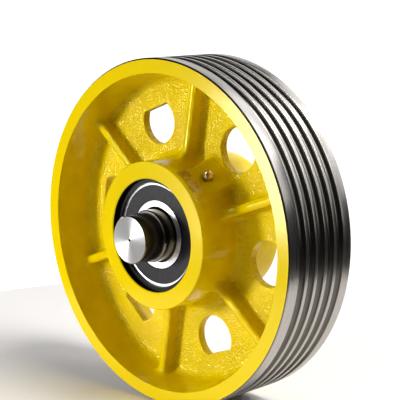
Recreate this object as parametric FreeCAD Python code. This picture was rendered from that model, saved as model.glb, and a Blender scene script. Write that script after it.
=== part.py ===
import FreeCAD, Part
import math
import os

# A rope sheave for five ropes of 10 mm: a ribbed cast wheel with turned rope grooves,
# running on two deep groove ball bearings on a fixed axle. The space between the
# bearings is filled with grease through a nipple on a boss of the hub.
# Millimetres. The wheel's axis is Y, its front faces -Y, and the origin is the
# wheel's centre, half way through the rim.

V = FreeCAD.Vector
AXIS = V(0, 1, 0)
CENTRE = V(0, 0, 0)

# Rim and rope grooves
rope_diameter = 10.0
tread_diameter = 400.0
rim_width = 101.0
groove_count = 5
groove_pitch = 15.2
first_groove_from_front = 21.4
groove_radius_per_rope = 0.53
groove_lip_round = 0.5
rim_edge_chamfer = 1.6
rim_thickness = 17.2
rim_draft_deg = 8.0

# Web, windows and ribs
web_thickness = 10.0
web_corner_radius = 10.0
window_count = 6
window_pitch_diameter = 260.0
window_diameter = 52.0
window_flat_from_centre = 17.3
window_corner_radius = 3.0
first_window_deg = 51.0
window_edge_round = 1.2
rib_recess = 28.5
rib_edge_thickness = 10.5
rib_draft_deg = 4.5
rib_edge_round = 2.5
rib_root_radius = 25.0
rib_root_reach = 21.0
casting_fillet = 6.0

# Hub
hub_face_diameter = 170.0
hub_projection = 11.0
hub_draft_deg = 1.0
hub_edge_chamfer = 1.0
hub_shoulder_diameter = 114.0

# Boss for the grease nipple
boss_width = 42.0
boss_front_from_face = 24.0
boss_slope_deg = 29.0
boss_edge_round = 2.0
boss_sink = 0.5
nipple_along_boss = 12.0
grease_hole_diameter = 4.0

# Ball bearings, 60 x 130 x 31, with a seal on the outer side only
bearing_bore = 60.0
bearing_outside_diameter = 130.0
bearing_width = 31.0
bearing_recess = 11.0
bearing_corner = 2.1
ball_diameter = 22.2
ball_count = 8
ball_pitch_diameter = 95.0
ball_clearance = 0.05
race_conformity = 0.52
inner_land_below_pitch = 8.5
outer_land_above_pitch = 8.0
seal_seat_depth = 1.5
seal_thickness = 1.8
seal_setback = 0.5
seal_lip_gap = 0.3
seal_lip_thickness = 0.8
seal_lip_step = 1.6
cage_thickness = 1.2
cage_width = 7.5
cage_ball_gap = 0.25
cage_rivet_diameter = 2.5
cage_rivet_head_diameter = 5.0
cage_rivet_crown_diameter = 2.5
cage_rivet_head_height = 1.2

# Retaining ring of the hub bore
circlip_thickness = 4.0
circlip_groove_depth = 2.0
circlip_groove_play = 0.15
circlip_inner_diameter = 120.0
circlip_gap_deg = 12.0
circlip_gap_at_deg = 191.0
circlip_lug_depth = 8.0
circlip_lug_width = 11.0
circlip_hole_diameter = 3.5

# Axle
axle_length = 186.0
axle_end_diameter = 55.0
axle_end_length = 27.5
axle_collar_diameter = 72.0
axle_chamfer = 1.0
centre_hole_diameter = 2.6
centre_hole_depth = 5.0
centre_hole_mouth = 0.5

# Grease nipple
nipple_thread_diameter = 10.0
nipple_thread_length = 8.0
nipple_thread_chamfer = 0.6
nipple_hex_flats = 11.0
nipple_hex_height = 4.5
nipple_hex_bevel = 1.2
nipple_neck_diameter = 5.0
nipple_neck_length = 2.2
nipple_neck_flare = 0.8
nipple_head_diameter = 6.6
nipple_head_length = 5.0
nipple_head_flare = 1.2
nipple_nose_length = 1.8
nipple_nose_land = 0.5
nipple_bore_diameter = 3.0
nipple_mouth_diameter = 1.8
nipple_mouth_depth = 1.5
nipple_ball_diameter = 2.6
nipple_spring_diameter = 2.4
nipple_spring_wire = 0.35
nipple_spring_turns = 6
nipple_spring_seat = 1.0
nipple_play = 0.02

# Plate on the hub
plate_length = 30.5
plate_width = 14.6
plate_thickness = 0.5
plate_centre_deg = 53.0
plate_from_hub_face = 5.5

# How far a piece runs on inside what it joins or cuts, and a length too small to matter
overlap = 1.0
tiny = 0.001

# Sizes worked out from those above
rim_half = rim_width / 2
web_half = web_thickness / 2
hub_half = rim_half + hub_projection
tread_radius = tread_diameter / 2
groove_radius = rope_diameter * groove_radius_per_rope
rim_inner_radius = tread_radius - rim_thickness
rim_root_radius = rim_inner_radius - (rim_half - web_half) * math.tan(math.radians(rim_draft_deg))
hub_face_radius = hub_face_diameter / 2
hub_root_radius = hub_face_radius + (hub_half - web_half) * math.tan(math.radians(hub_draft_deg))
bore_radius = bearing_outside_diameter / 2
hub_wall_middle = (bore_radius + hub_face_radius) / 2
bearing_face = hub_half - bearing_recess
bearing_inner_face = bearing_face - bearing_width
bearing_middle = bearing_face - bearing_width / 2
rib_edge_plane = rim_half - rib_recess
sector_deg = 360.0 / window_count
ball_pitch_radius = ball_pitch_diameter / 2
inner_land_radius = ball_pitch_radius - inner_land_below_pitch
outer_land_radius = ball_pitch_radius + outer_land_above_pitch
seal_seat_radius = outer_land_radius + seal_seat_depth
boss_front = -hub_half + boss_front_from_face
boss_top_front = hub_face_radius - boss_sink
nipple_tip = nipple_hex_height + nipple_neck_length + nipple_head_length
nipple_bore_end = nipple_tip - nipple_mouth_depth
nipple_ball_centre = nipple_bore_end - nipple_play - math.sqrt(
    (nipple_ball_diameter / 2) ** 2 - (nipple_mouth_diameter / 2) ** 2)


def rz(radius, degrees, y=0.0):
    """The point at a radius and angle about the wheel's axis, the angle counted from +X to +Z."""
    angle = math.radians(degrees)
    return V(radius * math.cos(angle), y, radius * math.sin(angle))


def turn(shape, degrees):
    """A copy turned about the wheel's axis, from +X towards +Z."""
    copy = shape.copy()
    copy.rotate(CENTRE, AXIS, -degrees)
    return copy


def mirrored(shape):
    """The same piece on the wheel's rear side."""
    return shape.mirror(CENTRE, AXIS)


def turned(section):
    """A solid of revolution from section points of radius and distance along the axis."""
    points = [V(radius, y, 0) for radius, y in section]
    face = Part.Face(Part.makePolygon(points + points[:1]))
    return face.revolve(CENTRE, AXIS, 360)


def is_concave(shape, edge):
    """True where two faces of a shape meet in an inside corner along an edge."""
    smooth_turn = 0.05
    probe = 0.05
    faces = shape.ancestorsOfType(edge, Part.Face)
    if len(faces) != 2:
        return False
    middle = edge.valueAt((edge.FirstParameter + edge.LastParameter) / 2)
    normals = []
    for face in faces:
        u, v = face.Surface.parameter(middle)
        normals.append(face.normalAt(u, v))
    step = normals[0] - normals[1]
    if step.Length < smooth_turn:
        return False
    return shape.isInside(middle + step * probe, tiny, False)


def widest(edge):
    """The farthest that an edge's box reaches from the wheel's axis along X or Z."""
    box = edge.BoundBox
    return max(abs(box.XMin), abs(box.XMax), abs(box.ZMin), abs(box.ZMax))


def flat_distance(point, centre):
    """The distance between two points, seen along the wheel's axis."""
    return math.hypot(point.x - centre.x, point.z - centre.z)


def along(edge, low, high):
    """True when an edge lies between two distances along the wheel's axis."""
    box = edge.BoundBox
    return box.YMin > low and box.YMax < high


def rim_and_hub():
    """The turned body of the casting, rounded where the web meets the rim and the hub."""
    front_lip = rim_half - rim_edge_chamfer
    rim_lip = tread_radius - rim_edge_chamfer
    hub_lip = hub_half - hub_edge_chamfer
    half = [
        (bore_radius + hub_edge_chamfer, -hub_half),
        (hub_face_radius - hub_edge_chamfer, -hub_half),
        (hub_face_radius, -hub_lip),
        (hub_root_radius, -web_half),
        (rim_root_radius, -web_half),
        (rim_inner_radius, -rim_half),
        (rim_lip, -rim_half),
        (tread_radius, -front_lip),
    ]
    bore = [
        (bore_radius, -hub_lip),
        (bore_radius, -bearing_inner_face),
        (hub_shoulder_diameter / 2, -bearing_inner_face),
    ]
    rear = [(radius, -y) for radius, y in reversed(half)]
    rear_bore = [(radius, -y) for radius, y in bore]
    body = turned(half + rear + rear_bore + list(reversed(bore)))
    corners = [edge for edge in body.Edges
               if edge.BoundBox.YLength < tiny and abs(abs(edge.BoundBox.YMin) - web_half) < tiny]
    return body.makeFillet(web_corner_radius, corners)


def rib():
    """One front rib along +X: its side outline, narrowed towards its free edge by the draft."""
    foot = -web_half / 2
    inner = hub_wall_middle
    outer = rim_inner_radius
    arc_start = hub_face_radius + rib_root_reach
    arc_centre = V(arc_start, -rib_edge_plane - rib_root_radius, 0)
    sweep = math.asin(rib_root_reach / rib_root_radius)
    half_sweep = sweep / 2

    def on_arc(angle):
        return arc_centre + V(-rib_root_radius * math.sin(angle), rib_root_radius * math.cos(angle), 0)

    edges = [
        Part.LineSegment(V(outer, foot, 0), V(outer, -rib_edge_plane, 0)).toShape(),
        Part.LineSegment(V(outer, -rib_edge_plane, 0), V(arc_start, -rib_edge_plane, 0)).toShape(),
        Part.Arc(on_arc(0), on_arc(half_sweep), on_arc(sweep)).toShape(),
        Part.LineSegment(on_arc(sweep), V(inner, on_arc(sweep).y, 0)).toShape(),
        Part.LineSegment(V(inner, on_arc(sweep).y, 0), V(inner, foot, 0)).toShape(),
        Part.LineSegment(V(inner, foot, 0), V(outer, foot, 0)).toShape(),
    ]
    slab_half = rib_edge_thickness
    profile = Part.Face(Part.Wire(edges))
    profile.translate(V(0, 0, -slab_half))
    slab = profile.extrude(V(0, 0, 2 * slab_half))

    lean = math.tan(math.radians(rib_draft_deg))
    edge_half = rib_edge_thickness / 2
    foot_half = edge_half + (rib_edge_plane + foot) * lean
    top = -rib_edge_plane - rib_root_radius
    top_half = edge_half - rib_root_radius * lean
    corners = [V(inner, foot, foot_half), V(inner, foot, -foot_half),
               V(inner, top, -top_half), V(inner, top, top_half)]
    wedge = Part.Face(Part.makePolygon(corners + corners[:1])).extrude(V(outer - inner, 0, 0))
    bar = slab.common(wedge)
    rounded = [edge for edge in bar.Edges
               if along(edge, -rib_edge_plane - rib_root_radius, foot - overlap)
               and edge.BoundBox.XLength > rib_edge_round]
    return bar.makeFillet(rib_edge_round, rounded)


def boss():
    """The nipple's boss along +X: a block whose flat top rises from the hub towards the web."""
    slope = math.tan(math.radians(boss_slope_deg))
    foot = -web_half / 2
    low = hub_wall_middle
    outline = [V(low, boss_front - (boss_top_front - low) / slope, 0),
               V(boss_top_front + (foot - boss_front) * slope, foot, 0), V(low, foot, 0)]
    face = Part.Face(Part.makePolygon(outline + outline[:1]))
    face.translate(V(0, 0, -boss_width / 2))
    block = face.extrude(V(0, 0, boss_width))
    sides = [edge for edge in block.Edges
             if min(edge.BoundBox.XLength, edge.BoundBox.YLength) > boss_edge_round]
    return block.makeFillet(boss_edge_round, sides)


def window():
    """The cutter of one window along +X: a round hole with a flat on its outer side."""
    centre = window_pitch_diameter / 2
    depth = 2 * web_thickness
    base = V(centre, -depth / 2, 0)
    hole = Part.makeCylinder(window_diameter / 2, depth, base, AXIS)
    kept = Part.makeBox(window_diameter, depth, window_diameter)
    kept.translate(V(centre + window_flat_from_centre - window_diameter, -depth / 2, -window_diameter / 2))
    cutter = hole.common(kept)
    corners = [edge for edge in cutter.Edges
               if edge.BoundBox.YLength > web_thickness and edge.BoundBox.XLength < tiny
               and edge.CenterOfMass.x > centre + window_flat_from_centre / 2]
    return cutter.makeFillet(window_corner_radius, corners)


def tread_grooves():
    """The rope grooves as rings of round section, centred on the tread surface."""
    rings = []
    for index in range(groove_count):
        y = -rim_half + first_groove_from_front + index * groove_pitch
        rings.append(Part.makeTorus(tread_radius, groove_radius, V(0, y, 0), AXIS))
    return rings


def circlip_groove():
    """The groove for the front retaining ring in the hub bore."""
    front = -bearing_face - circlip_thickness - circlip_groove_play
    inner = bore_radius - overlap
    outer = bore_radius + circlip_groove_depth
    return turned([(inner, front), (outer, front), (outer, -bearing_face), (inner, -bearing_face)])


def on_boss(shape):
    """Carries a piece built on the +X axis to the nipple's seat, upright on the boss's sloping top."""
    slope = math.radians(boss_slope_deg)
    seat_x = boss_top_front + nipple_along_boss * math.sin(slope)
    seat_y = boss_front + nipple_along_boss * math.cos(slope)
    copy = shape.copy()
    copy.rotate(CENTRE, V(0, 0, 1), -boss_slope_deg)
    copy.translate(V(seat_x, seat_y, 0))
    return turn(copy, first_window_deg)


def grease_passage():
    """The tapped hole in the boss and the drilled hole from it to the space between the bearings."""
    slope = math.radians(boss_slope_deg)
    tapped = Part.makeCylinder(nipple_thread_diameter / 2, nipple_thread_length + overlap,
                               V(-nipple_thread_length, 0, 0), V(1, 0, 0))
    seat_height = boss_top_front + nipple_along_boss * math.sin(slope) - hub_shoulder_diameter / 2
    reach = seat_height / math.cos(slope) + 2 * grease_hole_diameter
    drilled = Part.makeCylinder(grease_hole_diameter / 2, reach, V(-reach, 0, 0), V(1, 0, 0))
    return on_boss(tapped.fuse(drilled))


def casting():
    """The wheel: hub, web, ribs, windows, rim and turned rope grooves in one casting."""
    ribs = []
    for index in range(window_count):
        front = turn(rib(), first_window_deg + sector_deg * (index + 0.5))
        ribs += [front, mirrored(front)]
    body = rim_and_hub().fuse(ribs + [turn(boss(), first_window_deg)])
    inside_corners = [edge for edge in body.Edges
                      if widest(edge) > hub_face_radius - tiny and is_concave(body, edge)]
    body = body.makeFillet(casting_fillet, inside_corners)
    windows = [turn(window(), first_window_deg + sector_deg * index) for index in range(window_count)]
    front_groove = circlip_groove()
    body = body.cut(windows + tread_grooves() + [front_groove, mirrored(front_groove), grease_passage()])
    window_centres = [rz(window_pitch_diameter / 2, first_window_deg + sector_deg * index)
                      for index in range(window_count)]
    rims = [edge for edge in body.Edges
            if edge.BoundBox.YLength < tiny
            and abs(abs(edge.BoundBox.YMin) - web_half) < tiny
            and min(flat_distance(edge.CenterOfMass, centre) for centre in window_centres) < window_diameter / 2]
    body = body.makeFillet(window_edge_round, rims)
    lips = [edge for edge in body.Edges
            if edge.BoundBox.YLength < tiny
            and edge.BoundBox.XLength > tread_diameter - 2 * groove_radius
            and abs(edge.BoundBox.YMin) < rim_half - 2 * rim_edge_chamfer]
    return body.makeFillet(groove_lip_round, lips)


def outer_ring():
    """The front bearing's outer ring, with its ball race and the step for the seal."""
    seal_step = -bearing_face + seal_setback + seal_thickness
    outside = bore_radius
    ring = turned([
        (seal_seat_radius, -bearing_face),
        (outside - bearing_corner, -bearing_face),
        (outside, -bearing_face + bearing_corner),
        (outside, -bearing_inner_face - bearing_corner),
        (outside - bearing_corner, -bearing_inner_face),
        (outer_land_radius, -bearing_inner_face),
        (outer_land_radius, seal_step),
        (seal_seat_radius, seal_step),
    ])
    race_radius = ball_diameter * race_conformity
    race_centre = ball_pitch_radius + ball_diameter / 2 + ball_clearance - race_radius
    return ring.cut(Part.makeTorus(race_centre, race_radius, V(0, -bearing_middle, 0), AXIS))


def inner_ring():
    """The front bearing's inner ring, with its ball race."""
    inside = bearing_bore / 2
    ring = turned([
        (inside + bearing_corner, -bearing_face),
        (inner_land_radius, -bearing_face),
        (inner_land_radius, -bearing_inner_face),
        (inside + bearing_corner, -bearing_inner_face),
        (inside, -bearing_inner_face - bearing_corner),
        (inside, -bearing_face + bearing_corner),
    ])
    race_radius = ball_diameter * race_conformity
    race_centre = ball_pitch_radius - ball_diameter / 2 - ball_clearance + race_radius
    return ring.cut(Part.makeTorus(race_centre, race_radius, V(0, -bearing_middle, 0), AXIS))


def ball_places():
    """The ball centres of the front bearing."""
    step = 360.0 / ball_count
    return [rz(ball_pitch_radius, index * step, -bearing_middle) for index in range(ball_count)]


def balls():
    """The front bearing's balls, as separate solids of one group."""
    return Part.makeCompound([Part.makeSphere(ball_diameter / 2, place) for place in ball_places()])


def ball_shape(radius):
    """A sphere about the front bearing's ball place on +X, its seam turned to the rear."""
    sphere = Part.makeSphere(radius)
    sphere.rotate(CENTRE, V(1, 1, 1), 120)
    sphere.translate(V(ball_pitch_radius, -bearing_middle, 0))
    return sphere


def cage_rivet_places():
    """The rivets' centres, half way between the balls."""
    step = 360.0 / ball_count
    return [rz(ball_pitch_radius, (index + 0.5) * step, -bearing_middle) for index in range(ball_count)]


def cage_half():
    """The front half of the front bearing's pressed cage: a flat ribbon domed over each ball."""
    low = ball_pitch_radius - cage_width / 2
    high = ball_pitch_radius + cage_width / 2
    joint = -bearing_middle
    pocket = ball_diameter / 2 + cage_ball_gap
    flat = turned([(low, joint - cage_thickness), (high, joint - cage_thickness), (high, joint), (low, joint)])
    reach = pocket + cage_thickness + overlap
    band = turned([(low, joint - reach), (high, joint - reach), (high, joint), (low, joint)])
    step = 360.0 / ball_count
    domes = Part.makeCompound([turn(ball_shape(pocket + cage_thickness), index * step)
                               for index in range(ball_count)])
    pockets = [turn(ball_shape(pocket), index * step) for index in range(ball_count)]
    holes = [Part.makeCylinder(cage_rivet_diameter / 2, reach, place - AXIS * (reach / 2), AXIS)
             for place in cage_rivet_places()]
    return flat.fuse(band.common(domes).Solids).cut(pockets + holes)


def cage_rivets():
    """The rivets that join the two halves of the front bearing's cage."""
    shank_half = cage_thickness
    head = cage_rivet_head_diameter / 2
    shank = cage_rivet_diameter / 2
    rise = cage_rivet_head_height
    crown = cage_rivet_crown_diameter / 2
    section = [(0, -shank_half - rise), (crown, -shank_half - rise), (head, -shank_half - rise / 2),
               (head, -shank_half), (shank, -shank_half)]
    section += [(radius, -y) for radius, y in reversed(section)]
    rivet = turned(section)
    rivets = []
    for place in cage_rivet_places():
        copy = rivet.copy()
        copy.translate(place)
        rivets.append(copy)
    return Part.makeCompound(rivets)


def seal():
    """The rubber seal on the outer side of the front bearing, with its lip at the inner ring."""
    face = -bearing_face + seal_setback
    back = face + seal_thickness
    lip = inner_land_radius + seal_lip_gap
    return turned([
        (seal_seat_radius, face),
        (seal_seat_radius, back),
        (lip, back),
        (lip, back - seal_lip_thickness),
        (lip + seal_lip_step, back - seal_lip_thickness),
        (lip + seal_lip_step, face),
    ])


def circlip():
    """The front retaining ring of the hub bore: an open ring with a lug and a hole at each end."""
    inner = circlip_inner_diameter / 2
    outer = bore_radius + circlip_groove_depth
    front = -bearing_face - circlip_thickness
    ring = turned([(inner, front), (outer, front), (outer, -bearing_face), (inner, -bearing_face)])
    half_gap = circlip_gap_deg / 2
    lug_radius = circlip_lug_width / 2
    lug_centre = inner - circlip_lug_depth + lug_radius
    lug_turn = half_gap + math.degrees(lug_radius / inner)
    base = V(lug_centre, front, 0)
    ear = Part.makeCylinder(lug_radius, circlip_thickness, base, AXIS)
    arm = Part.makeBox(inner + overlap - lug_centre, circlip_thickness, circlip_lug_width)
    arm.translate(V(lug_centre, front, -lug_radius))
    hole = Part.makeCylinder(circlip_hole_diameter / 2, circlip_thickness, base, AXIS)
    lug = ear.fuse(arm)
    ring = ring.fuse([turn(lug, lug_turn), turn(lug, -lug_turn)])
    reach = 2 * outer
    wedge = Part.makePolygon([V(0, front, 0), rz(reach, half_gap, front), rz(reach, -half_gap, front),
                              V(0, front, 0)])
    gap = Part.Face(wedge).extrude(V(0, circlip_thickness, 0))
    ring = ring.cut([gap, turn(hole, lug_turn), turn(hole, -lug_turn)]).removeSplitter()
    return turn(ring, circlip_gap_at_deg)


def axle():
    """The fixed axle: two ends for its brackets, two bearing seats and a collar between the bearings."""
    half = axle_length / 2
    end = axle_end_diameter / 2
    seat = bearing_bore / 2
    collar = axle_collar_diameter / 2
    step = half - axle_end_length
    outline = [
        (0, -half),
        (end - axle_chamfer, -half),
        (end, -half + axle_chamfer),
        (end, -step),
        (seat - axle_chamfer, -step),
        (seat, -step + axle_chamfer),
        (seat, -bearing_inner_face),
        (collar, -bearing_inner_face),
    ]
    bar = turned(outline + [(radius, -y) for radius, y in reversed(outline)])
    drill = centre_hole_diameter / 2
    mouth = drill + centre_hole_mouth
    centre_hole = turned([
        (0, -half),
        (mouth, -half),
        (drill, -half + centre_hole_mouth),
        (drill, -half + centre_hole_depth),
        (0, -half + centre_hole_depth + drill),
    ])
    return bar.cut([centre_hole, mirrored(centre_hole)])


def nipple_hexagon():
    """The nipple's hexagon on the plane X = 0, its outer corners bevelled."""
    flats = nipple_hex_flats / 2
    corner = flats / math.cos(math.radians(30))
    corners = [V(0, corner * math.cos(math.radians(angle)), corner * math.sin(math.radians(angle)))
               for angle in range(0, 360, 60)]
    prism = Part.Face(Part.makePolygon(corners + corners[:1])).extrude(V(nipple_hex_height, 0, 0))
    bevel = along_x([(0, 0), (corner, 0), (corner, nipple_hex_height - nipple_hex_bevel / 2),
                     (corner - nipple_hex_bevel, nipple_hex_height), (0, nipple_hex_height)])
    return prism.common(bevel)


def grease_nipple():
    """The nipple's body on the +X axis, its hexagon standing on the plane X = 0."""
    thread = nipple_thread_diameter / 2
    neck = nipple_neck_diameter / 2
    head = nipple_head_diameter / 2
    mouth = nipple_mouth_diameter / 2
    head_foot = nipple_tip - nipple_head_length
    stem = along_x([
        (0, -nipple_thread_length),
        (thread - nipple_thread_chamfer, -nipple_thread_length),
        (thread, -nipple_thread_length + nipple_thread_chamfer),
        (thread, 0),
        (neck + nipple_neck_flare, 0),
        (neck + nipple_neck_flare, nipple_hex_height),
        (neck, nipple_hex_height + nipple_neck_flare),
        (neck, head_foot),
        (head, head_foot + nipple_head_flare),
        (head, nipple_tip - nipple_nose_length),
        (mouth + nipple_nose_land, nipple_tip),
        (0, nipple_tip),
    ])
    bore = Part.makeCylinder(nipple_bore_diameter / 2, nipple_bore_end - nipple_spring_seat,
                             V(nipple_spring_seat, 0, 0), V(1, 0, 0))
    channel = Part.makeCylinder(mouth, nipple_tip + nipple_thread_length,
                                V(-nipple_thread_length, 0, 0), V(1, 0, 0))
    return nipple_hexagon().fuse(stem).cut([bore, channel]).removeSplitter()


def nipple_ball():
    """The check ball, seated under the nipple's mouth."""
    return Part.makeSphere(nipple_ball_diameter / 2, V(nipple_ball_centre, 0, 0))


def nipple_spring():
    """The spring that holds the check ball up."""
    room = nipple_ball_centre - nipple_ball_diameter / 2 - nipple_spring_seat
    height = room - nipple_spring_wire - 2 * nipple_play
    pitch = height / nipple_spring_turns
    mean_radius = (nipple_spring_diameter - nipple_spring_wire) / 2
    path = Part.Wire(Part.makeHelix(pitch, height, mean_radius))
    circle = Part.Circle(V(mean_radius, 0, 0), V(0, 1, 0), nipple_spring_wire / 2)
    coil = path.makePipeShell([Part.Wire(circle.toShape())], True, True)
    coil.rotate(CENTRE, V(0, 1, 0), 90)
    coil.translate(V(nipple_spring_seat + nipple_spring_wire / 2 + nipple_play, 0, 0))
    return coil


def plate():
    """The thin blank plate stuck round the hub, in front of the boss."""
    front = -hub_half + plate_from_hub_face
    rear = front + plate_width
    lean = math.tan(math.radians(hub_draft_deg))
    front_radius = hub_face_radius + (hub_half + front) * lean
    rear_radius = hub_face_radius + (hub_half + rear) * lean
    sweep = math.degrees(plate_length / front_radius)
    corners = [V(front_radius, front, 0), V(rear_radius, rear, 0),
               V(rear_radius + plate_thickness, rear, 0), V(front_radius + plate_thickness, front, 0)]
    sheet = Part.Face(Part.makePolygon(corners + corners[:1])).revolve(CENTRE, AXIS, sweep)
    return turn(sheet, plate_centre_deg + sweep / 2)


def along_x(section):
    """A solid of revolution about the X axis from points of radius and distance along it."""
    points = [V(x, radius, 0) for radius, x in section]
    face = Part.Face(Part.makePolygon(points + points[:1]))
    return face.revolve(CENTRE, V(1, 0, 0), 360)


def save(name, shape):
    """Writes one piece to its own STEP file."""
    shape.exportStep(os.path.join("parts", name + ".step"))


def main():
    os.makedirs("parts", exist_ok=True)
    save("sheave_casting", casting())
    save("axle", axle())
    front_cage_half = cage_half()
    across = V(0, -bearing_middle, 0)
    rear_cage_half = front_cage_half.mirror(across, AXIS)
    bearing = {
        "outer_ring": outer_ring(),
        "inner_ring": inner_ring(),
        "balls": balls(),
        "cage_outer_half": front_cage_half,
        "cage_inner_half": rear_cage_half,
        "cage_rivets": cage_rivets(),
        "seal": seal(),
        "circlip": circlip(),
    }
    for name, shape in bearing.items():
        save("front_" + name, shape)
        save("rear_" + name, mirrored(shape))
    save("grease_nipple", on_boss(grease_nipple()))
    save("nipple_ball", on_boss(nipple_ball()))
    save("nipple_spring", on_boss(nipple_spring()))
    save("hub_plate", plate())


main()
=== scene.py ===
import math

import bmesh
import bpy
from mathutils import Matrix, Vector, noise


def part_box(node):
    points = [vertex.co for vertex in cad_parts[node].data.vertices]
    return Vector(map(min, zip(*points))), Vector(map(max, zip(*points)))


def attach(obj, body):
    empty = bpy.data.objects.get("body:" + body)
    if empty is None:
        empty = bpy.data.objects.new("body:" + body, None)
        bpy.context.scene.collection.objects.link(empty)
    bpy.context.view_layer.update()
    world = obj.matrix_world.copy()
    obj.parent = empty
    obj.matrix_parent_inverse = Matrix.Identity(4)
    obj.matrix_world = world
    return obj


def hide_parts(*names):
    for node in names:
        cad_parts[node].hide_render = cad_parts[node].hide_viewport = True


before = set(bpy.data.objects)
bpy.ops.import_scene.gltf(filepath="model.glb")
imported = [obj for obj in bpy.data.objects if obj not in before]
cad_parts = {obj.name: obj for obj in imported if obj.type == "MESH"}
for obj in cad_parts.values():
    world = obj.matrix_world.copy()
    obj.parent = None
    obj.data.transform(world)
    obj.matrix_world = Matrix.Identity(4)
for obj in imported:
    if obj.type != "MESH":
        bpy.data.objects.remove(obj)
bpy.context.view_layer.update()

bl_info = {
    "name": "Rope Sheave",
    "version": (1, 0, 0),
    "blender": (4, 5, 0),
    "location": "View3D > Sidebar > Sheave",
    "description": "Dresses a ribbed cast rope sheave that turns on two ball bearings",
    "category": "Object",
}

MM = 0.001
SIDES = ("front", "rear")

# The casting's turned sizes, from the frame's own pieces. A point whose x is past RIM_STARTS of the tread's
# radius is on the rim, and one whose y is past HUB_FACE_STARTS of the hub's half length is on its face
RIM_STARTS = 0.9
HUB_FACE_STARTS = 0.95
CASTING_POINTS = [vertex.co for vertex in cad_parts["sheave_casting"].data.vertices]
TREAD_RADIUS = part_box("sheave_casting")[1].x
HUB_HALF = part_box("sheave_casting")[1].y
BORE_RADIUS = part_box("front_outer_ring")[1].x
RIM_HALF = max(point.y for point in CASTING_POINTS if point.x > RIM_STARTS * TREAD_RADIUS)
HUB_RADIUS = max(point.x for point in CASTING_POINTS if point.y > HUB_FACE_STARTS * HUB_HALF)
RIM_INNER_RADIUS = 182.8 * MM
SHOULDER_STEP = 8.0 * MM
HUB_BEVEL = 1.0 * MM
RIM_BEVEL = 1.6 * MM

# How the casting is made: the metal left on for the lathe and round the windows' cores, how far the hub's
# bevel runs on past its side, and how near two points are before they are welded
ALLOWANCE = 3.0 * MM
OVERRUN = 2.0 * MM
WELD = 0.001 * MM
ROUGH_SEGMENTS = 192
TURNED_SEGMENTS = 320
SHARP_ANGLE = math.radians(38)

# The web's windows, and how far the cores that leave them stand out of the web
WEB_HALF = 5.0 * MM
WINDOW_COUNT = 6
FIRST_WINDOW_DEG = 51
WINDOW_ANGLES = [math.radians(FIRST_WINDOW_DEG + 360 / WINDOW_COUNT * index)
                 for index in range(WINDOW_COUNT)]
WINDOW_PITCH_RADIUS = 130.0 * MM
WINDOW_RADIUS = 26.0 * MM
WINDOW_FLAT = 17.3 * MM
WINDOW_CORNER = 3.0 * MM
WINDOW_EDGE = 1.2 * MM
CORE_REACH = 4.0 * MM
WINDOW_ROUND_STEPS = 64
WINDOW_CORNER_STEPS = 4
WINDOW_EDGE_STEPS = 4

# The rope grooves
GROOVE_COUNT = 5
GROOVE_PITCH = 15.2 * MM
FIRST_GROOVE = 21.4 * MM
GROOVE_RADIUS = 5.3 * MM
GROOVE_LIP = 0.5 * MM
GROOVE_STEPS = 12

# The mould's smaller lumps: shares of the larger ones' size and height, and their own part of the noise
FINE_LUMP_SIZE = 0.45
FINE_LUMP_HEIGHT = 0.5
FINE_LUMP_OFFSET = Vector((7.1, 3.3, 5.7))

# The floor, in metres, the strength of the dim room's light, and how far the camera stands to the right of
# and above the line through the rim's centre
FLOOR_RADIUS = 0.56
FLOOR_SEGMENTS = 96
ROOM_STRENGTH = 0.02
CAMERA_ASIDE = 48.26 * MM
CAMERA_ABOVE = 39.30 * MM
SENSOR_WIDTH = 36.0

# The softboxes: name, azimuth and elevation in degrees, size in metres, power in watts
SOFTBOX_DISTANCE = 2.0
SOFTBOXES = (
    ("overhead_right", 110, 65, 0.8, 24.0),
    ("front_left_low", -30, 3, 0.3, 19.0),
    ("left_low", -90, 5, 0.8, 12.0),
    ("behind_mid", 172, 42, 1.2, 6.0),
    ("right_high", 102, 40, 0.8, 10.0),
    ("front_left_mid", -20, 25, 0.8, 6.0),
    ("front_left_foot", -36, -6, 0.4, 6.0),
    ("behind_left", -150, 25, 1.4, 5.0),
    ("right_low", 102, 15, 0.8, 3.0),
    ("behind_right", 150, 40, 0.8, 3.0),
    ("front_low", 0, 12, 0.8, 2.0),
    ("right_rear", 138, 24, 0.8, 2.2),
)

# The casting's finishes, in the order of its material slots
ENAMEL_CAST, ENAMEL_TURNED, BARE_IRON, BORE_IRON = range(4)

# The sockets of a Mix node that mixes colours, by number because its other sockets share their names
MIX_SHARE, MIX_FIRST, MIX_SECOND, MIX_RESULT = 0, 6, 7, 2

# How far a surface looks along the axle where a turned side ends and where a face starts
SIDE_ENDS = 0.80
FACE_STARTS = 0.95


def linear(hex_colour):
    """The linear colour of an sRGB hex value."""
    channels = [int(hex_colour[i:i + 2], 16) / 255 for i in (0, 2, 4)]
    return tuple(c / 12.92 if c <= 0.04045 else ((c + 0.055) / 1.055) ** 2.4 for c in channels)


class CastingSettings(bpy.types.PropertyGroup):
    """Sizes and colours of the cast wheel."""
    enamel: bpy.props.FloatVectorProperty(
        name="Enamel", description="Colour of the gloss enamel on the casting",
        subtype="COLOR", size=3, min=0.0, max=1.0, default=linear("E8CC00"))
    cell: bpy.props.FloatProperty(
        name="Mesh cell", description="Size of a mesh cell on the as-cast surfaces",
        unit="LENGTH", min=0.5 * MM, default=2.8 * MM)
    lump_size: bpy.props.FloatProperty(
        name="Lump size", description="Size of the soft lumps that the sand mould leaves",
        unit="LENGTH", min=1 * MM, default=9.0 * MM)
    lump_height: bpy.props.FloatProperty(
        name="Lump height", description="Height of the lumps",
        unit="LENGTH", min=0.0, default=0.22 * MM)


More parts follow.
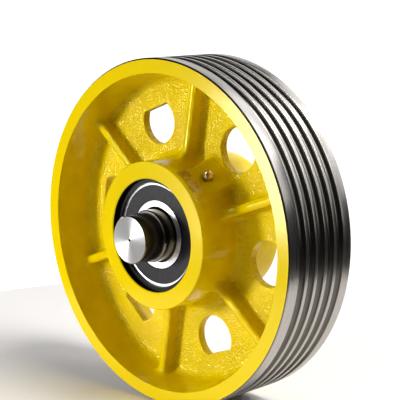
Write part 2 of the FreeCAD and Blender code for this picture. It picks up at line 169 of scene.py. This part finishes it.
class StageSettings(bpy.types.PropertyGroup):
    """The floor and the camera."""
    floor_colour: bpy.props.FloatVectorProperty(
        name="Floor", description="Colour of the pale floor",
        subtype="COLOR", size=3, min=0.0, max=1.0, default=linear("F4F1EE"))
    azimuth: bpy.props.FloatProperty(
        name="Azimuth", description="Angle of the camera round the wheel, from straight in front",
        subtype="ANGLE", default=math.radians(45.59))
    elevation: bpy.props.FloatProperty(
        name="Elevation", description="Angle of the camera above the horizon",
        subtype="ANGLE", default=math.radians(10.50))
    distance: bpy.props.FloatProperty(
        name="Distance", description="From the camera to the centre of the rim's front plane",
        unit="LENGTH", default=1.4)
    focal_length: bpy.props.FloatProperty(
        name="Focal length", description="Focal length on a 36 mm sensor",
        unit="CAMERA", default=110.8)


def add(tree, kind, sockets=None, **settings):
    """Adds a shader node: settings are its own, and each socket takes a value or another node's output."""
    node = tree.nodes.new(kind)
    for name, value in settings.items():
        setattr(node, name, value)
    for name, value in (sockets or {}).items():
        if isinstance(value, bpy.types.NodeSocket):
            tree.links.new(value, node.inputs[name])
        else:
            node.inputs[name].default_value = value
    return node


def start_material(name):
    """A new material and its empty tree."""
    material = bpy.data.materials.new(name)
    material.use_nodes = True
    material.node_tree.nodes.clear()
    return material, material.node_tree


def surfaced(material, sockets):
    """The material with its one shader, whose sockets take values or other nodes' outputs."""
    tree = material.node_tree
    shader = add(tree, "ShaderNodeBsdfPrincipled", sockets)
    add(tree, "ShaderNodeOutputMaterial", {"Surface": shader.outputs[0]})
    return material


def ring_place(tree):
    """The point as distance from the axis and distance along it, so that a pattern runs round in rings."""
    at = add(tree, "ShaderNodeTexCoord").outputs["Object"]
    point = add(tree, "ShaderNodeSeparateXYZ", {0: at})
    flat = add(tree, "ShaderNodeCombineXYZ", {"X": point.outputs["X"], "Z": point.outputs["Z"]})
    radius = add(tree, "ShaderNodeVectorMath", {0: flat.outputs[0]}, operation="LENGTH")
    return add(tree, "ShaderNodeCombineXYZ", {
        "X": radius.outputs["Value"], "Y": point.outputs["Y"]}).outputs[0]


def patches(tree, at, size, first, second, low=0.35, high=0.65):
    """Soft patches, their size in metres, that go between two close shades of a finish."""
    cloud = add(tree, "ShaderNodeTexNoise", {"Vector": at, "Scale": 1.0 / size, "Detail": 2.0})
    share = add(tree, "ShaderNodeMapRange", {
        "Value": cloud.outputs["Fac"], "From Min": low, "From Max": high})
    return add(tree, "ShaderNodeMix", {
        MIX_SHARE: share.outputs[0], MIX_FIRST: (*first, 1.0), MIX_SECOND: (*second, 1.0)},
        data_type="RGBA").outputs[MIX_RESULT]


def relief(tree, at, size, height, detail=2.0, strength=1.0, under=None):
    """Soft lumps, their size and height in metres, over another relief where one is given."""
    cloud = add(tree, "ShaderNodeTexNoise", {"Vector": at, "Scale": 1.0 / size, "Detail": detail})
    sockets = {"Height": cloud.outputs["Fac"], "Distance": height, "Strength": strength}
    if under is not None:
        sockets["Normal"] = under
    return add(tree, "ShaderNodeBump", sockets).outputs[0]


def turned_round_axle(tree, amount):
    """The shader's sockets that stretch the gloss across turning marks round the axle."""
    tangent = add(tree, "ShaderNodeTangent", direction_type="RADIAL", axis="Y")
    return {"Tangent": tangent.outputs[0], "Anisotropic": amount, "Anisotropic Rotation": 0.25}


def by_facing(tree, on_sides, on_faces):
    """One value on what is turned round the axle, and another on faces that look along it."""
    normal = add(tree, "ShaderNodeTexCoord").outputs["Normal"]
    along = add(tree, "ShaderNodeSeparateXYZ", {0: normal}).outputs["Y"]
    facing = add(tree, "ShaderNodeMath", {0: along}, operation="ABSOLUTE").outputs[0]
    return add(tree, "ShaderNodeMapRange", {
        "Value": facing, "From Min": SIDE_ENDS, "From Max": FACE_STARTS,
        "To Min": on_sides, "To Max": on_faces}).outputs[0]


def enamel_on_cast_iron(colour):
    """Alkyd gloss enamel sprayed on sand-cast grey iron: a wet gloss, broken up on the web by sand marks."""
    material, tree = start_material("alkyd_enamel_on_sand_cast_iron")
    at = add(tree, "ShaderNodeTexCoord").outputs["Object"]
    darker = tuple(channel * 0.90 for channel in colour)
    along = add(tree, "ShaderNodeSeparateXYZ", {0: at}).outputs["Y"]
    depth = add(tree, "ShaderNodeMath", {0: along}, operation="ABSOLUTE").outputs[0]
    # The marks are full on the web and nearly gone 11 mm off it, where the photographed casting is smoother
    on_web = add(tree, "ShaderNodeMapRange", {
        "Value": depth, "From Min": WEB_HALF + 3 * MM, "From Max": WEB_HALF + 11 * MM,
        "To Min": 1.0, "To Max": 0.12}).outputs[0]
    # The sand marks are drawn higher than real ones, so that they show at the render's size
    sand = relief(tree, at, size=2.4 * MM, height=1.6 * MM, detail=1.0, strength=on_web)
    swell = relief(tree, at, size=6.0 * MM, height=1.2 * MM, strength=on_web, under=sand)
    # The reflections are tinted, because most of those in the photographed paint are yellow
    return surfaced(material, {
        "Base Color": patches(tree, at, 30 * MM, darker, colour), "Roughness": 0.07, "IOR": 1.5,
        "Specular Tint": (1.0, 0.94, 0.45, 1.0), "Normal": swell})


# Real turning marks are a few tenths of a millimetre apart at most, too fine to show in the render, so the
# patterns of rings below are drawn 0.5 to 2.5 mm wide


def enamel_on_turned_iron(colour):
    """The same enamel on faces turned flat before painting: an even gloss with a faint ring pattern."""
    material, tree = start_material("alkyd_enamel_on_turned_iron")
    rings = relief(tree, ring_place(tree), size=2.5 * MM, height=0.02 * MM)
    at = add(tree, "ShaderNodeTexCoord").outputs["Object"]
    return surfaced(material, {
        "Base Color": (*colour, 1.0), "Roughness": 0.14, "IOR": 1.5, "Specular Tint": (1.0, 0.97, 0.80, 1.0),
        "Normal": relief(tree, at, size=6 * MM, height=0.03 * MM, under=rings)})


def turned_grey_iron():
    """Bare grey iron turned on a lathe: bright, with rings that stretch reflections, and painted shade
    darkening the grooves.
    """
    material, tree = start_material("turned_grey_iron")
    at = ring_place(tree)
    rings = add(tree, "ShaderNodeTexNoise", {
        "Vector": at, "Scale": 1.0 / (0.9 * MM), "Detail": 4.0}).outputs["Fac"]
    roughness = add(tree, "ShaderNodeMapRange", {
        "Value": rings, "From Min": 0.3, "From Max": 0.7, "To Min": 0.25, "To Max": 0.33}).outputs[0]
    marks = add(tree, "ShaderNodeBump", {
        "Height": rings, "Distance": 0.007 * MM, "Strength": 1.0}).outputs[0]
    radius = add(tree, "ShaderNodeSeparateXYZ", {0: at}).outputs["X"]
    # Painted shade: the grooves get a darker grey than the lands, standing in for the shade inside them
    groove_painted_shade = add(tree, "ShaderNodeMapRange", {
        "Value": radius, "From Min": TREAD_RADIUS - 1.2 * MM, "From Max": TREAD_RADIUS - 0.3 * MM,
        "To Min": 1.0, "To Max": 0.0}).outputs[0]
    colour = add(tree, "ShaderNodeMix", {
        MIX_SHARE: groove_painted_shade, MIX_FIRST: (*linear("B3AFAB"), 1.0), MIX_SECOND: (*linear("6F6C67"), 1.0)},
        data_type="RGBA").outputs[MIX_RESULT]
    return surfaced(material, {
        "Base Color": colour, "Metallic": 1.0, "Roughness": roughness, "Normal": marks,
        **turned_round_axle(tree, 0.3)})


def bored_iron():
    """Bored and greased iron inside the hub, painted near black as the shade in the bore, with a dull sheen.
    """
    material, tree = start_material("greased_iron_bore_painted_shade")
    # Partly the grease's darkening and partly painted shade: the nearly black base colour stands in for the
    # shade inside the hub's bore
    return surfaced(material, {
        "Base Color": (*linear("2C2A28"), 1.0), "Metallic": 1.0, "Roughness": 0.38,
        "Normal": relief(tree, ring_place(tree), size=1.2 * MM, height=0.01 * MM),
        **turned_round_axle(tree, 0.4)})


def turned_steel():
    """Finish-turned steel bar: bright faces whose rings fan the reflections out, and sides painted dark and
    brownish as shade and a reflection of the yellow hub.
    """
    material, tree = start_material("finish_turned_steel")
    # Painted shade and reflection: the same steel gets a dark brownish grey on its sides and a bright grey
    # on its faces
    colour = add(tree, "ShaderNodeMix", {
        MIX_SHARE: by_facing(tree, 0.0, 1.0), MIX_FIRST: (*linear("7A7262"), 1.0),
        MIX_SECOND: (*linear("B4B4B4"), 1.0)}, data_type="RGBA").outputs[MIX_RESULT]
    return surfaced(material, {
        "Base Color": colour, "Metallic": 1.0, "Roughness": by_facing(tree, 0.13, 0.42),
        "Normal": relief(tree, ring_place(tree), size=0.5 * MM, height=0.002 * MM, detail=4.0),
        **turned_round_axle(tree, 0.9)})


def ground_steel():
    """Hardened bearing steel, ground and honed: smooth and bright, with duller faces."""
    material, tree = start_material("ground_bearing_steel")
    return surfaced(material, {
        "Base Color": (*linear("E2E2E4"), 1.0), "Metallic": 1.0, "Roughness": by_facing(tree, 0.12, 0.38),
        "Normal": relief(tree, ring_place(tree), size=0.8 * MM, height=0.002 * MM),
        **turned_round_axle(tree, 0.6)})


def pressed_steel():
    """Cold-rolled strip pressed to shape: grey and half bright."""
    material, tree = start_material("pressed_strip_steel")
    at = add(tree, "ShaderNodeTexCoord").outputs["Object"]
    return surfaced(material, {
        "Base Color": (*linear("A9A8A5"), 1.0), "Metallic": 1.0, "Roughness": 0.34,
        "Normal": relief(tree, at, size=2 * MM, height=0.02 * MM)})


def moulded_nitrile():
    """Nitrile rubber moulded on a steel washer: dark grey, matt, with small marks from the mould."""
    material, tree = start_material("moulded_nitrile_rubber")
    at = add(tree, "ShaderNodeTexCoord").outputs["Object"]
    return surfaced(material, {
        "Base Color": patches(tree, at, 5 * MM, linear("201E21"), linear("2D2A2E"), low=0.3, high=0.7),
        "Roughness": 0.45, "Specular IOR Level": 0.3,
        "Normal": relief(tree, at, size=0.9 * MM, height=0.06 * MM)})


def phosphated_steel():
    """Spring steel, phosphated and oiled: black with a soft gloss."""
    material, tree = start_material("phosphated_spring_steel")
    at = add(tree, "ShaderNodeTexCoord").outputs["Object"]
    return surfaced(material, {
        "Base Color": (*linear("191817"), 1.0), "Metallic": 0.6, "Roughness": 0.36,
        "Normal": relief(tree, at, size=0.8 * MM, height=0.02 * MM)})


def passivated_steel():
    """Zinc-plated steel, yellow passivated: a brownish metal gloss."""
    material, tree = start_material("yellow_passivated_steel")
    at = add(tree, "ShaderNodeTexCoord").outputs["Object"]
    return surfaced(material, {
        "Base Color": patches(tree, at, 2.2 * MM, linear("C0A878"), linear("E6D8B8")),
        "Metallic": 1.0, "Roughness": 0.28})


def oversprayed_aluminium():
    """Rolled aluminium sheet, dulled by a mist of the wheel's paint."""
    material, tree = start_material("oversprayed_rolled_aluminium")
    at = add(tree, "ShaderNodeTexCoord").outputs["Object"]
    return surfaced(material, {
        "Base Color": patches(tree, at, 4 * MM, linear("B0963A"), linear("CDB968")),
        "Metallic": 0.5, "Roughness": 0.36})


def pale_laminate(colour):
    """Matt white laminate of a studio table."""
    material, tree = start_material("pale_table_laminate")
    at = add(tree, "ShaderNodeTexCoord").outputs["Object"]
    return surfaced(material, {
        "Base Color": (*colour, 1.0), "Roughness": 0.6,
        "Normal": relief(tree, at, size=40 * MM, height=0.05 * MM)})


def piece_from(name, data):
    """A new object in the scene from mesh data."""
    piece = bpy.data.objects.new(name, data)
    bpy.context.scene.collection.objects.link(piece)
    return piece


def applied(piece, kind, **settings):
    """The piece's mesh with one modifier applied; the piece goes."""
    modifier = piece.modifiers.new(kind.lower(), kind)
    for name, value in settings.items():
        setattr(modifier, name, value)
    done = bpy.data.meshes.new_from_object(piece.evaluated_get(bpy.context.evaluated_depsgraph_get()))
    bpy.data.objects.remove(piece)
    return done


def lathe(mesh, profile, segments):
    """Adds a closed ring to a mesh.

    Each point of the profile has a radius, a place along the axis and the finish of the stretch after it.
    """
    rings = []
    for step in range(segments):
        angle = 2 * math.pi * step / segments
        rings.append([mesh.verts.new((radius * math.cos(angle), along, radius * math.sin(angle)))
                      for radius, along, _ in profile])
    faces = []
    for step, ring in enumerate(rings):
        after = rings[(step + 1) % segments]
        for index, (_, _, finish) in enumerate(profile):
            corner = (index + 1) % len(profile)
            face = mesh.faces.new((ring[index], ring[corner], after[corner], after[index]))
            face.material_index = finish
            faces.append(face)
    bmesh.ops.recalc_face_normals(mesh, faces=faces)


def groove_profile(middle):
    """Half-round rope groove across the tread, with its lips eased, from front to rear."""
    reach = GROOVE_RADIUS + GROOVE_LIP
    depth = math.sqrt(reach ** 2 - GROOVE_LIP ** 2)
    lean = math.asin(GROOVE_LIP / reach)
    lip = [(TREAD_RADIUS - GROOVE_LIP * (1 - math.cos(turn)), -depth + GROOVE_LIP * math.sin(turn))
           for turn in (0.0, 0.5 * (math.pi / 2 - lean), math.pi / 2 - lean)]
    arc = []
    for step in range(1, GROOVE_STEPS):
        turn = -math.pi / 2 + lean + step * (math.pi - 2 * lean) / GROOVE_STEPS
        arc.append((TREAD_RADIUS - GROOVE_RADIUS * math.cos(turn), GROOVE_RADIUS * math.sin(turn)))
    lip_end = [(radius, -along) for radius, along in reversed(lip)]
    return [(radius, middle + along, BARE_IRON) for radius, along in lip + arc + lip_end]


def turned_profile():
    """What the lathe leaves: bore, circlip grooves, hub faces, rim faces and the grooved tread."""
    ring_low, ring_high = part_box("front_outer_ring")
    clip_low, clip_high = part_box("front_circlip")
    shoulder = BORE_RADIUS - SHOULDER_STEP
    # Between hub and rim the profile stays clear of the web, ribs and boss, so they are left as cast
    between = (HUB_RADIUS + TREAD_RADIUS) / 2
    front = [
        (shoulder, ring_high.y, BORE_IRON),
        (BORE_RADIUS, ring_high.y, BORE_IRON),
        (BORE_RADIUS, ring_low.y, BORE_IRON),
        (clip_high.x, ring_low.y, BORE_IRON),
        (clip_high.x, clip_low.y, BORE_IRON),
        (BORE_RADIUS, clip_low.y, BORE_IRON),
        (BORE_RADIUS, -HUB_HALF + HUB_BEVEL, ENAMEL_TURNED),
        (BORE_RADIUS + HUB_BEVEL, -HUB_HALF, ENAMEL_TURNED),
        (HUB_RADIUS - HUB_BEVEL, -HUB_HALF, ENAMEL_TURNED),
        (HUB_RADIUS + OVERRUN, -HUB_HALF + HUB_BEVEL + OVERRUN, ENAMEL_CAST),
        (between, -HUB_HALF + HUB_BEVEL + OVERRUN, ENAMEL_CAST),
        (between, -RIM_HALF, ENAMEL_TURNED),
        (TREAD_RADIUS - RIM_BEVEL, -RIM_HALF, BARE_IRON),
    ]
    # The rear is the front mirrored and run backwards, so each stretch keeps the finish that it has in front
    finishes = [finish for _, _, finish in reversed(front[:-1])] + [BORE_IRON]
    rear = [(radius, -along, finish) for (radius, along, _), finish in zip(reversed(front), finishes)]
    tread = [(TREAD_RADIUS, -RIM_HALF + RIM_BEVEL, BARE_IRON)]
    for index in range(GROOVE_COUNT):
        tread += groove_profile(-RIM_HALF + FIRST_GROOVE + index * GROOVE_PITCH)
    tread.append((TREAD_RADIUS, RIM_HALF - RIM_BEVEL, BARE_IRON))
    return front + tread + rear


def arc_points(centre_x, centre_z, radius, turns):
    """Points of an arc in a plane across the axle."""
    return [(centre_x + radius * math.cos(turn), centre_z + radius * math.sin(turn)) for turn in turns]


def window_outline(grown):
    """A window's outline about its centre, the flat side towards +X, grown outwards all round."""
    inset = WINDOW_RADIUS - WINDOW_CORNER
    reach = WINDOW_FLAT - WINDOW_CORNER
    corner_z = math.sqrt(inset ** 2 - reach ** 2)
    meet = math.atan2(corner_z, reach)
    first_turns = [meet * step / WINDOW_CORNER_STEPS for step in range(WINDOW_CORNER_STEPS)]
    round_turns = [meet + (2 * math.pi - 2 * meet) * step / WINDOW_ROUND_STEPS
                   for step in range(WINDOW_ROUND_STEPS + 1)]
    last_turns = [-meet + meet * step / WINDOW_CORNER_STEPS for step in range(1, WINDOW_CORNER_STEPS + 1)]
    return (arc_points(reach, corner_z, WINDOW_CORNER + grown, first_turns)
            + arc_points(0.0, 0.0, WINDOW_RADIUS + grown, round_turns)
            + arc_points(reach, -corner_z, WINDOW_CORNER + grown, last_turns))


def window(mesh, angle, levels):
    """Adds one window's plug to a mesh.

    Each level has a place along the axle and how far the outline grows there.
    """
    middle = Vector((WINDOW_PITCH_RADIUS, 0.0, 0.0))
    turn = Matrix.Rotation(-angle, 3, "Y")
    loops = [[mesh.verts.new(turn @ (middle + Vector((x, along, z)))) for x, z in window_outline(grown)]
             for along, grown in levels]
    faces = [mesh.faces.new(loops[0]), mesh.faces.new(loops[-1])]
    for low, high in zip(loops, loops[1:]):
        for index, vertex in enumerate(low):
            after = (index + 1) % len(low)
            faces.append(mesh.faces.new((vertex, low[after], high[after], high[index])))
    bmesh.ops.recalc_face_normals(mesh, faces=faces)


def window_cores():
    """The cores that leave the six windows, flared so that the window's edges come out rounded."""
    side = [(WEB_HALF + CORE_REACH, WINDOW_EDGE)]
    for step in range(WINDOW_EDGE_STEPS + 1):
        turn = math.pi / 2 * step / WINDOW_EDGE_STEPS
        side.append((WEB_HALF - WINDOW_EDGE * (1 - math.cos(turn)), WINDOW_EDGE * (1 - math.sin(turn))))
    levels = [(-along, grown) for along, grown in side]
    levels += [(along, grown) for along, grown in reversed(side)]
    mesh = bmesh.new()
    for angle in WINDOW_ANGLES:
        window(mesh, angle, levels)
    data = bpy.data.meshes.new("window_cores")
    mesh.to_mesh(data)
    mesh.free()
    return data


def sand_lumps(point, size):
    """The height of the sand mould's lumps at a point, about from -1 to 1."""
    coarse = noise.noise(point / size)
    fine = noise.noise(point / (FINE_LUMP_SIZE * size) + FINE_LUMP_OFFSET)
    return coarse + FINE_LUMP_HEIGHT * fine


def rough_casting(settings):
    """The casting as it leaves the mould: lumpy, soft in its corners, with metal left on for turning."""
    mesh = bmesh.new()
    mesh.from_mesh(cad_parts["sheave_casting"].data)
    bmesh.ops.remove_doubles(mesh, verts=mesh.verts, dist=WELD)
    bore = BORE_RADIUS - SHOULDER_STEP - ALLOWANCE
    for inner, outer, half in ((bore, HUB_RADIUS, HUB_HALF + ALLOWANCE),
                               (RIM_INNER_RADIUS, TREAD_RADIUS + ALLOWANCE, RIM_HALF + ALLOWANCE)):
        lathe(mesh, [(inner, -half, ENAMEL_CAST), (outer, -half, ENAMEL_CAST),
                     (outer, half, ENAMEL_CAST), (inner, half, ENAMEL_CAST)], ROUGH_SEGMENTS)
    for angle in WINDOW_ANGLES:
        window(mesh, angle, [(-WEB_HALF, ALLOWANCE), (WEB_HALF, ALLOWANCE)])
    data = bpy.data.meshes.new("rough_casting")
    mesh.to_mesh(data)
    mesh.free()
    data = applied(piece_from("rough_casting", data), "REMESH", mode="VOXEL", voxel_size=settings.cell)
    normals = [vertex.normal.copy() for vertex in data.vertices]
    for vertex, normal in zip(data.vertices, normals):
        vertex.co += settings.lump_height * sand_lumps(vertex.co, settings.lump_size) * normal
    return data


def dressed_casting(settings, materials):
    """The rough casting cut to what the lathe leaves of it, as one mesh."""
    rough = piece_from("rough_casting", rough_casting(settings))
    mesh = bmesh.new()
    lathe(mesh, turned_profile(), TURNED_SEGMENTS)
    turned = bpy.data.meshes.new("turned_surfaces")
    mesh.to_mesh(turned)
    mesh.free()
    cutter = piece_from("turned_surfaces", turned)
    rough.data.materials.clear()
    for material in materials:
        rough.data.materials.append(material)
        turned.materials.append(material)
    data = applied(rough, "BOOLEAN", operation="INTERSECT", object=cutter, solver="MANIFOLD")
    bpy.data.objects.remove(cutter)
    cored = piece_from("window_cores", window_cores())
    data = applied(piece_from("turned_casting", data), "BOOLEAN",
                   operation="DIFFERENCE", object=cored, solver="MANIFOLD")
    bpy.data.objects.remove(cored)
    data.shade_smooth()
    data.set_sharp_from_angle(angle=SHARP_ANGLE)
    return piece_from("wheel_casting", data)


def finish_nodes(nodes, material):
    """Gives CAD nodes a material."""
    for name in nodes:
        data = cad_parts[name].data
        data.materials.clear()
        data.materials.append(material)


class SHEAVE_OT_casting(bpy.types.Operator):
    """Dress the cast wheel with its rough and turned surfaces"""
    bl_idname = "sheave.casting"
    bl_label = "Cast Wheel"

    def execute(self, context):
        settings = context.scene.sheave_casting
        colour = tuple(settings.enamel)
        piece = dressed_casting(settings, (enamel_on_cast_iron(colour), enamel_on_turned_iron(colour),
                                           turned_grey_iron(), bored_iron()))
        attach(piece, "wheel")
        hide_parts("sheave_casting")
        return {"FINISHED"}


class SHEAVE_OT_bearings(bpy.types.Operator):
    """Finish the bearings, their seals and the retaining rings"""
    bl_idname = "sheave.bearings"
    bl_label = "Bearings"

    def execute(self, context):
        ground, pressed = ground_steel(), pressed_steel()
        rubber, black = moulded_nitrile(), phosphated_steel()
        for side in SIDES:
            finish_nodes([f"{side}_outer_ring", f"{side}_inner_ring", f"{side}_balls"], ground)
            finish_nodes([f"{side}_cage_outer_half", f"{side}_cage_inner_half"], pressed)
            finish_nodes([f"{side}_cage_rivets"], pressed)
            finish_nodes([f"{side}_seal"], rubber)
            finish_nodes([f"{side}_circlip"], black)
        return {"FINISHED"}


class SHEAVE_OT_axle(bpy.types.Operator):
    """Finish the turned axle"""
    bl_idname = "sheave.axle"
    bl_label = "Axle"

    def execute(self, context):
        finish_nodes(["axle"], turned_steel())
        return {"FINISHED"}


class SHEAVE_OT_grease_nipple(bpy.types.Operator):
    """Finish the grease nipple with its check ball and spring"""
    bl_idname = "sheave.grease_nipple"
    bl_label = "Grease Nipple"

    def execute(self, context):
        finish_nodes(["grease_nipple"], passivated_steel())
        finish_nodes(["nipple_ball"], ground_steel())
        finish_nodes(["nipple_spring"], pressed_steel())
        return {"FINISHED"}


class SHEAVE_OT_hub_plate(bpy.types.Operator):
    """Finish the thin blank plate on the hub"""
    bl_idname = "sheave.hub_plate"
    bl_label = "Hub Plate"

    def execute(self, context):
        finish_nodes(["hub_plate"], oversprayed_aluminium())
        return {"FINISHED"}


def make_floor(settings):
    """A pale table top that the wheel stands on."""
    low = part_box("sheave_casting")[0].z
    mesh = bmesh.new()
    bmesh.ops.create_circle(mesh, cap_ends=True, segments=FLOOR_SEGMENTS, radius=FLOOR_RADIUS,
                            matrix=Matrix.Translation((0.0, 0.0, low)))
    data = bpy.data.meshes.new("floor")
    mesh.to_mesh(data)
    mesh.free()
    data.materials.append(pale_laminate(tuple(settings.floor_colour)))
    piece_from("floor", data)


def softbox(name, azimuth, elevation, size, power):
    """A square studio light that looks at the wheel; its angles are measured as the camera's are."""
    turn, rise = math.radians(azimuth), math.radians(elevation)
    back = Vector((math.sin(turn) * math.cos(rise), -math.cos(turn) * math.cos(rise), math.sin(rise)))
    data = bpy.data.lights.new(name, "AREA")
    data.size = size
    data.energy = power
    lamp = bpy.data.objects.new(name, data)
    lamp.location = SOFTBOX_DISTANCE * back
    lamp.rotation_mode = "QUATERNION"
    lamp.rotation_quaternion = back.to_track_quat("Z", "Y")
    lamp.visible_camera = False
    bpy.context.scene.collection.objects.link(lamp)


def make_world():
    """A white background for the eye, and a dim room for the reflections."""
    world = bpy.data.worlds.new("studio")
    world.use_nodes = True
    tree = world.node_tree
    tree.nodes.clear()
    seen = add(tree, "ShaderNodeBackground", {"Color": (1.0, 1.0, 1.0, 1.0), "Strength": 1.0})
    room = add(tree, "ShaderNodeBackground", {"Color": (1.0, 1.0, 1.0, 1.0), "Strength": ROOM_STRENGTH})
    path = add(tree, "ShaderNodeLightPath")
    mixed = add(tree, "ShaderNodeMixShader", {
        0: path.outputs["Is Camera Ray"], 1: room.outputs[0], 2: seen.outputs[0]})
    add(tree, "ShaderNodeOutputWorld", {"Surface": mixed.outputs[0]})
    bpy.context.scene.world = world


def make_camera(settings):
    """The photograph's camera, set from the centre of the rim's front plane."""
    azimuth, elevation = settings.azimuth, settings.elevation
    back = Vector((math.sin(azimuth) * math.cos(elevation),
                   -math.cos(azimuth) * math.cos(elevation), math.sin(elevation)))
    right = Vector((math.cos(azimuth), math.sin(azimuth), 0.0))
    up = back.cross(right)
    data = bpy.data.cameras.new("camera")
    data.sensor_width = SENSOR_WIDTH
    data.lens = settings.focal_length
    camera = bpy.data.objects.new("camera", data)
    rim_centre = Vector((0.0, -RIM_HALF, 0.0))
    eye = rim_centre + settings.distance * back + CAMERA_ASIDE * right + CAMERA_ABOVE * up
    turn = Matrix((right, up, back)).transposed().to_4x4()
    camera.matrix_world = Matrix.Translation(eye) @ turn
    bpy.context.scene.collection.objects.link(camera)
    bpy.context.scene.camera = camera


class SHEAVE_OT_stage(bpy.types.Operator):
    """Set the pale floor, the soft lights and the camera"""
    bl_idname = "sheave.stage"
    bl_label = "Stage"

    def execute(self, context):
        settings = context.scene.sheave_stage
        make_floor(settings)
        make_world()
        make_camera(settings)
        context.scene.view_settings.view_transform = "Standard"
        context.scene.view_settings.look = "Medium High Contrast"
        for name, *light in SOFTBOXES:
            softbox(name, *light)
        return {"FINISHED"}


class SHEAVE_PT_panel(bpy.types.Panel):
    """Lists the sheave's pieces in the sidebar"""
    bl_label = "Rope Sheave"
    bl_idname = "SHEAVE_PT_panel"
    bl_space_type = "VIEW_3D"
    bl_region_type = "UI"
    bl_category = "Sheave"

    def draw(self, context):
        column = self.layout.column()
        for settings in (context.scene.sheave_casting, context.scene.sheave_stage):
            for name in settings.__annotations__:
                column.prop(settings, name)
        for operator in OPERATORS:
            column.operator(operator.bl_idname)


OPERATORS = (SHEAVE_OT_casting, SHEAVE_OT_bearings, SHEAVE_OT_axle, SHEAVE_OT_grease_nipple,
             SHEAVE_OT_hub_plate, SHEAVE_OT_stage)
CLASSES = (CastingSettings, StageSettings) + OPERATORS + (SHEAVE_PT_panel,)


def register():
    for item in CLASSES:
        bpy.utils.register_class(item)
    bpy.types.Scene.sheave_casting = bpy.props.PointerProperty(type=CastingSettings)
    bpy.types.Scene.sheave_stage = bpy.props.PointerProperty(type=StageSettings)


def unregister():
    del bpy.types.Scene.sheave_stage
    del bpy.types.Scene.sheave_casting
    for item in reversed(CLASSES):
        bpy.utils.unregister_class(item)


def main():
    register()
    bpy.ops.sheave.casting()
    bpy.ops.sheave.bearings()
    bpy.ops.sheave.axle()
    bpy.ops.sheave.grease_nipple()
    bpy.ops.sheave.hub_plate()
    bpy.ops.sheave.stage()


if __name__ == "__main__":
    main()
